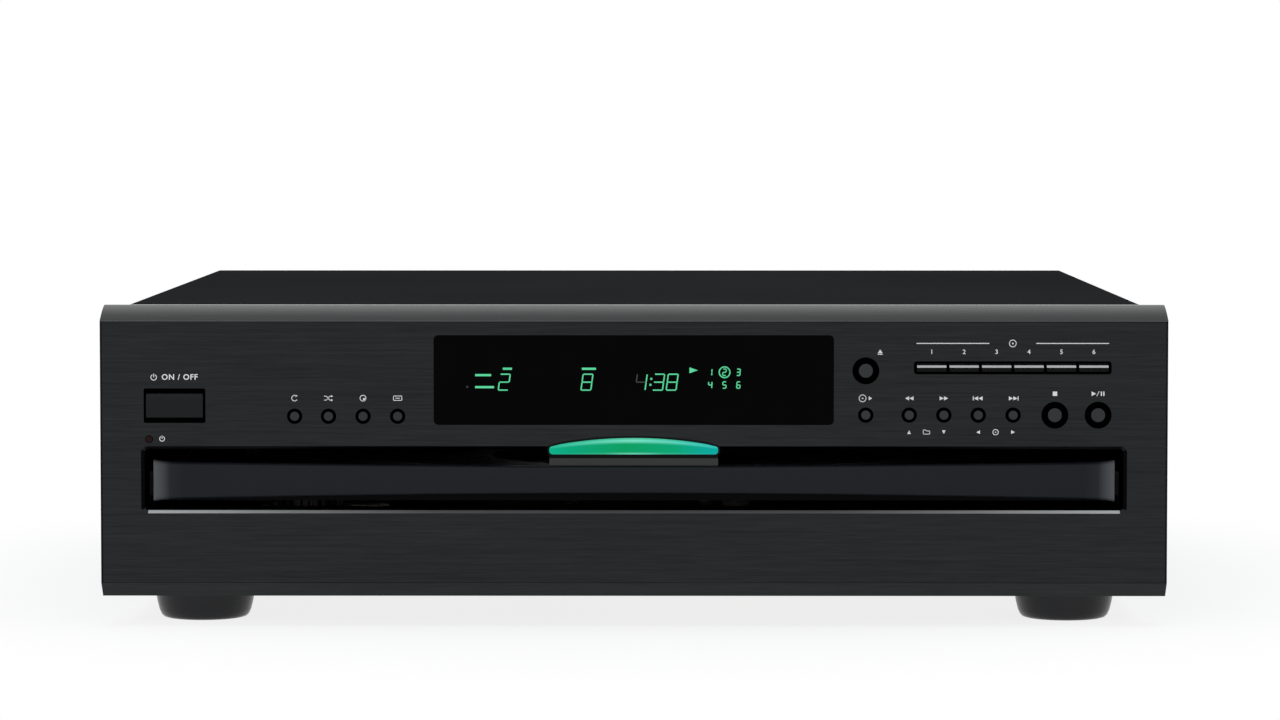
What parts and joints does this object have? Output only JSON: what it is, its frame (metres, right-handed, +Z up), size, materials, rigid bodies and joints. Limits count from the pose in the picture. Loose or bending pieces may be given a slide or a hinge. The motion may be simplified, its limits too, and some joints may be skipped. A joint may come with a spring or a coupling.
{
  "type": "cd changer",
  "caption": "Full-size disc changer with a drawer that carries a six-well carousel, a tilting playing mechanism, a display window and sprung buttons.",
  "frame": {"origin": "centre of the footprint box, on the surface under the feet", "axes": "+X right seen from the front, +Y to the back, +Z up"},
  "size_m": [0.435, 0.433, 0.131],
  "materials": {
    "base_chassis": "zinc plated",
    "carousel": "black moulded",
    "carousel_cap": "black moulded",
    "carousel_motor": "plated can",
    "carousel_pinion": "white acetal",
    "carousel_ring": "white acetal",
    "clamp_bridge": "zinc plated",
    "clamper": "black moulded",
    "control_board": "brown circuit board",
    "cover_screws": "black plated",
    "dimmer_button": "satin black",
    "disc_select_1": "satin black",
    "disc_select_2": "satin black",
    "disc_select_3": "satin black",
    "disc_select_4": "satin black",
    "disc_select_5": "satin black",
    "disc_select_6": "satin black",
    "disc_skip_button": "satin black",
    "display_button": "satin black",
    "display_tube": "clear glass over dark plates",
    "display_window": "black clear acrylic",
    "drawer_front": "satin black",
    "drawer_gear": "white acetal",
    "drawer_tray": "black moulded",
    "drive_belt": "black rubber",
    "eject_button": "satin black",
    "feet": "glossy black",
    "forward_button": "satin black",
    "front_panel": "black brushed anodised",
    "front_subframe": "black moulded",
    "guide_rods": "ground steel",
    "lamp_holder": "black moulded",
    "lamp_lens": "green clear",
    "lift_cam": "white acetal",
    "lift_frame": "zinc plated",
    "loading_motor": "plated can",
    "main_board": "brown circuit board",
    "mains_gland": "black moulded",
    "motor_pulley": "black acetal",
    "next_button": "satin black",
    "pickup_lens": "clear lens",
    "pickup_sled": "dark die-cast look",
    "play_button": "satin black",
    "power_button": "satin black",
    "previous_button": "satin black",
    "pulley_gear": "white acetal",
    "random_button": "satin black",
    "rear_jacks": "black blocks with metal sleeves",
    "rear_panel": "black painted",
    "repeat_button": "satin black",
    "rewind_button": "satin black",
    "sled_gear": "white acetal",
    "sled_motor": "plated can",
    "slide_rails": "black acetal",
    "spindle_motor": "plated can",
    "standby_lamp": "dark red clear",
    "stop_button": "satin black",
    "top_cover": "black textured paint",
    "transformer": "varnished steel",
    "turntable": "black moulded"
  },
  "bodies": {
    "housing": {"base_chassis": "base_chassis", "clamp_bridge": "clamp_bridge", "control_board": "control_board", "cover_screws": "cover_screws", "display_tube": "display_tube", "display_window": "display_window", "drive_belt": "drive_belt", "feet": "feet", "front_panel": "front_panel", "front_subframe": "front_subframe", "lamp_holder": "lamp_holder", "lamp_lens": "lamp_lens", "loading_motor": "loading_motor", "main_board": "main_board", "mains_gland": "mains_gland", "rear_jacks": "rear_jacks", "rear_panel": "rear_panel", "slide_rails": "slide_rails", "standby_lamp": "standby_lamp", "top_cover": "top_cover", "transformer": "transformer"},
    "drawer": {"drawer_tray": "drawer_tray", "drawer_front": "drawer_front", "carousel_cap": "carousel_cap", "carousel_motor": "carousel_motor"},
    "carousel": {"carousel": "carousel", "carousel_ring": "carousel_ring"},
    "carousel_pinion": {"carousel_pinion": "carousel_pinion"},
    "drawer_gear": {"drawer_gear": "drawer_gear"},
    "pulley_gear": {"pulley_gear": "pulley_gear"},
    "motor_pulley": {"motor_pulley": "motor_pulley"},
    "lift": {"lift_frame": "lift_frame", "guide_rods": "guide_rods", "sled_motor": "sled_motor", "spindle_motor": "spindle_motor"},
    "sled": {"pickup_sled": "pickup_sled", "pickup_lens": "pickup_lens"},
    "sled_gear": {"sled_gear": "sled_gear"},
    "turntable": {"turntable": "turntable"},
    "lift_cam": {"lift_cam": "lift_cam"},
    "clamper": {"clamper": "clamper"},
    "repeat_button": {"repeat_button": "repeat_button"},
    "random_button": {"random_button": "random_button"},
    "dimmer_button": {"dimmer_button": "dimmer_button"},
    "display_button": {"display_button": "display_button"},
    "disc_skip_button": {"disc_skip_button": "disc_skip_button"},
    "rewind_button": {"rewind_button": "rewind_button"},
    "forward_button": {"forward_button": "forward_button"},
    "previous_button": {"previous_button": "previous_button"},
    "next_button": {"next_button": "next_button"},
    "stop_button": {"stop_button": "stop_button"},
    "play_button": {"play_button": "play_button"},
    "eject_button": {"eject_button": "eject_button"},
    "power_button": {"power_button": "power_button"},
    "disc_select_1": {"disc_select_1": "disc_select_1"},
    "disc_select_2": {"disc_select_2": "disc_select_2"},
    "disc_select_3": {"disc_select_3": "disc_select_3"},
    "disc_select_4": {"disc_select_4": "disc_select_4"},
    "disc_select_5": {"disc_select_5": "disc_select_5"},
    "disc_select_6": {"disc_select_6": "disc_select_6"}
  },
  "joints": [
    {"name": "drawer_slide", "type": "slide", "parent": "housing", "child": "drawer", "axis": [0, -1, 0], "range_m": [0, 0.23]},
    {"name": "carousel_turn", "type": "hinge", "parent": "drawer", "child": "carousel", "pos_m": [0, -0.017, 0.06], "axis": [0, 0, 1], "continuous": true},
    {"name": "carousel_pinion_turn", "type": "hinge", "parent": "drawer", "child": "carousel_pinion", "pos_m": [0.06942, 0.06573, 0.0555], "axis": [0, 0, 1], "continuous": true},
    {"name": "drawer_gear_turn", "type": "hinge", "parent": "housing", "child": "drawer_gear", "pos_m": [-0.1365, -0.168, 0.046], "axis": [0, 0, 1], "range_deg": [0, 977]},
    {"name": "pulley_gear_turn", "type": "hinge", "parent": "housing", "child": "pulley_gear", "pos_m": [-0.111, -0.168, 0.042], "axis": [0, 0, 1], "range_deg": [-2343, 0]},
    {"name": "motor_pulley_turn", "type": "hinge", "parent": "housing", "child": "motor_pulley", "pos_m": [-0.0735, -0.168, 0.039], "axis": [0, 0, 1], "range_deg": [-10030, 0]},
    {"name": "lift_tilt", "type": "hinge", "parent": "housing", "child": "lift", "pos_m": [0, 0.196, 0.05], "axis": [-1, 0, 0], "range_deg": [0, 8]},
    {"name": "lift_cam_slide", "type": "slide", "parent": "housing", "child": "lift_cam", "axis": [1, 0, 0], "range_m": [0, 0.0301]},
    {"name": "sled_slide", "type": "slide", "parent": "lift", "child": "sled", "axis": [0, 0.9903, 0.1392], "range_m": [0, 0.034]},
    {"name": "sled_gear_turn", "type": "hinge", "parent": "lift", "child": "sled_gear", "pos_m": [0.0308, 0.15024, 0.04508], "axis": [0, -0.1392, 0.9903], "range_deg": [-244, 0]},
    {"name": "turntable_turn", "type": "hinge", "parent": "lift", "child": "turntable", "pos_m": [0, 0.10451, 0.05431], "axis": [0, -0.1392, 0.9903], "continuous": true},
    {"name": "clamper_turn", "type": "hinge", "parent": "housing", "child": "clamper", "pos_m": [0, 0.106, 0.073], "axis": [0, 0, 1], "continuous": true},
    {"name": "repeat_button_press", "type": "slide", "parent": "housing", "child": "repeat_button", "axis": [0, 1, 0], "range_m": [0, 0.0008], "stiffness_N_per_m": 300},
    {"name": "random_button_press", "type": "slide", "parent": "housing", "child": "random_button", "axis": [0, 1, 0], "range_m": [0, 0.0008], "stiffness_N_per_m": 300},
    {"name": "dimmer_button_press", "type": "slide", "parent": "housing", "child": "dimmer_button", "axis": [0, 1, 0], "range_m": [0, 0.0008], "stiffness_N_per_m": 300},
    {"name": "display_button_press", "type": "slide", "parent": "housing", "child": "display_button", "axis": [0, 1, 0], "range_m": [0, 0.0008], "stiffness_N_per_m": 300},
    {"name": "disc_skip_button_press", "type": "slide", "parent": "housing", "child": "disc_skip_button", "axis": [0, 1, 0], "range_m": [0, 0.0008], "stiffness_N_per_m": 300},
    {"name": "rewind_button_press", "type": "slide", "parent": "housing", "child": "rewind_button", "axis": [0, 1, 0], "range_m": [0, 0.0008], "stiffness_N_per_m": 300},
    {"name": "forward_button_press", "type": "slide", "parent": "housing", "child": "forward_button", "axis": [0, 1, 0], "range_m": [0, 0.0008], "stiffness_N_per_m": 300},
    {"name": "previous_button_press", "type": "slide", "parent": "housing", "child": "previous_button", "axis": [0, 1, 0], "range_m": [0, 0.0008], "stiffness_N_per_m": 300},
    {"name": "next_button_press", "type": "slide", "parent": "housing", "child": "next_button", "axis": [0, 1, 0], "range_m": [0, 0.0008], "stiffness_N_per_m": 300},
    {"name": "stop_button_press", "type": "slide", "parent": "housing", "child": "stop_button", "axis": [0, 1, 0], "range_m": [0, 0.0008], "stiffness_N_per_m": 300},
    {"name": "play_button_press", "type": "slide", "parent": "housing", "child": "play_button", "axis": [0, 1, 0], "range_m": [0, 0.0008], "stiffness_N_per_m": 300},
    {"name": "eject_button_press", "type": "slide", "parent": "housing", "child": "eject_button", "axis": [0, 1, 0], "range_m": [0, 0.0008], "stiffness_N_per_m": 300},
    {"name": "power_button_press", "type": "slide", "parent": "housing", "child": "power_button", "axis": [0, 1, 0], "range_m": [0, 0.0008], "stiffness_N_per_m": 300},
    {"name": "disc_select_1_press", "type": "slide", "parent": "housing", "child": "disc_select_1", "axis": [0, 1, 0], "range_m": [0, 0.0008], "stiffness_N_per_m": 300},
    {"name": "disc_select_2_press", "type": "slide", "parent": "housing", "child": "disc_select_2", "axis": [0, 1, 0], "range_m": [0, 0.0008], "stiffness_N_per_m": 300},
    {"name": "disc_select_3_press", "type": "slide", "parent": "housing", "child": "disc_select_3", "axis": [0, 1, 0], "range_m": [0, 0.0008], "stiffness_N_per_m": 300},
    {"name": "disc_select_4_press", "type": "slide", "parent": "housing", "child": "disc_select_4", "axis": [0, 1, 0], "range_m": [0, 0.0008], "stiffness_N_per_m": 300},
    {"name": "disc_select_5_press", "type": "slide", "parent": "housing", "child": "disc_select_5", "axis": [0, 1, 0], "range_m": [0, 0.0008], "stiffness_N_per_m": 300},
    {"name": "disc_select_6_press", "type": "slide", "parent": "housing", "child": "disc_select_6", "axis": [0, 1, 0], "range_m": [0, 0.0008], "stiffness_N_per_m": 300}
  ],
  "couplings": [
    {"joint": "carousel_pinion_turn", "follows": "carousel_turn", "ratio": -5},
    {"joint": "drawer_gear_turn", "follows": "drawer_slide", "rad_per_m": 74.074},
    {"joint": "pulley_gear_turn", "follows": "drawer_slide", "rad_per_m": -177.78},
    {"joint": "motor_pulley_turn", "follows": "drawer_slide", "rad_per_m": -761.11},
    {"joint": "lift_cam_slide", "follows": "lift_tilt", "m_per_rad": 0.21486},
    {"joint": "sled_gear_turn", "follows": "sled_slide", "rad_per_m": -125},
    {"joint": "clamper_turn", "follows": "turntable_turn", "ratio": 1}
  ]
}
